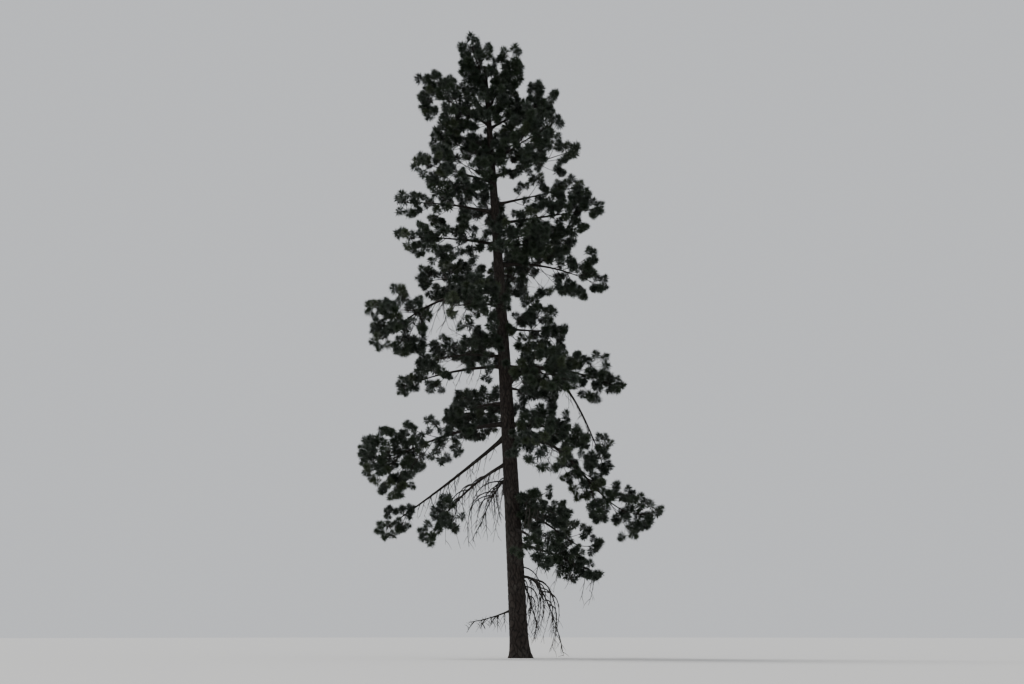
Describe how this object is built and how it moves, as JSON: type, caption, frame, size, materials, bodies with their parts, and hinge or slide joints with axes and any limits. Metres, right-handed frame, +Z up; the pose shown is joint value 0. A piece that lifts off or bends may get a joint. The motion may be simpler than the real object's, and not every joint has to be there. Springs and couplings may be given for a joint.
{
  "type": "whole pine tree",
  "caption": "Tall open-grown pine: a slightly leaning trunk flared at the root, drooping boughs, open masses of needle sprays in tiers, and bare dead limbs low down.",
  "frame": {"origin": "middle of the flat cut under the trunk, at ground level", "axes": "+Z up along the tree's height; -Y towards the side seen in the picture; +X to that view's right. The trunk leans a little to -X."},
  "size_m": [8.8044, 6.3263, 18.0488],
  "materials": {
    "bark": "rough furrowed bark",
    "limb_bark": "rough scaly bark",
    "dead_wood": "weathered grey, matte",
    "needles": "dull waxy green needles"
  },
  "bodies": {
    "root": {"back_1": "needles", "back_2": "needles", "back_3": "needles", "back_4": "needles", "back_5": "needles", "back_6": "needles", "bough_left_bare": "limb_bark", "bough_left_fringe": "limb_bark", "bough_left_hanging": "limb_bark", "bough_left_long": "limb_bark", "bough_left_wing": "limb_bark", "bough_right_elbow": "limb_bark", "bough_right_low": "limb_bark", "bough_right_lowest": "limb_bark", "bough_right_pendant": "limb_bark", "bough_right_ring": "limb_bark", "bough_right_wing": "limb_bark", "dead_left_limb": "dead_wood", "dead_left_twigs": "dead_wood", "dead_right_limb": "dead_wood", "dead_right_twigs": "dead_wood", "front_1": "needles", "front_2": "needles", "front_3": "needles", "front_4": "needles", "front_5": "needles", "front_6": "needles", "front_7": "needles", "leader_tip": "needles", "left_bare": "needles", "left_crest": "needles", "left_fringe": "needles", "left_hanging": "needles", "left_high": "needles", "left_inner": "needles", "left_long": "needles", "left_middle": "needles", "left_shelf": "needles", "left_shoulder": "needles", "left_spread": "needles", "left_upper": "needles", "left_wing": "needles", "right_crest": "needles", "right_elbow": "needles", "right_inner": "needles", "right_inner_high": "needles", "right_lap": "needles", "right_low": "needles", "right_lowest": "needles", "right_middle": "needles", "right_pendant": "needles", "right_ring": "needles", "right_shelf": "needles", "right_shoulder": "needles", "right_skirt": "needles", "right_upper": "needles", "right_wing": "needles", "right_wisp": "needles", "second_leader": "needles", "trunk": "bark"}
  },
  "joints": []
}
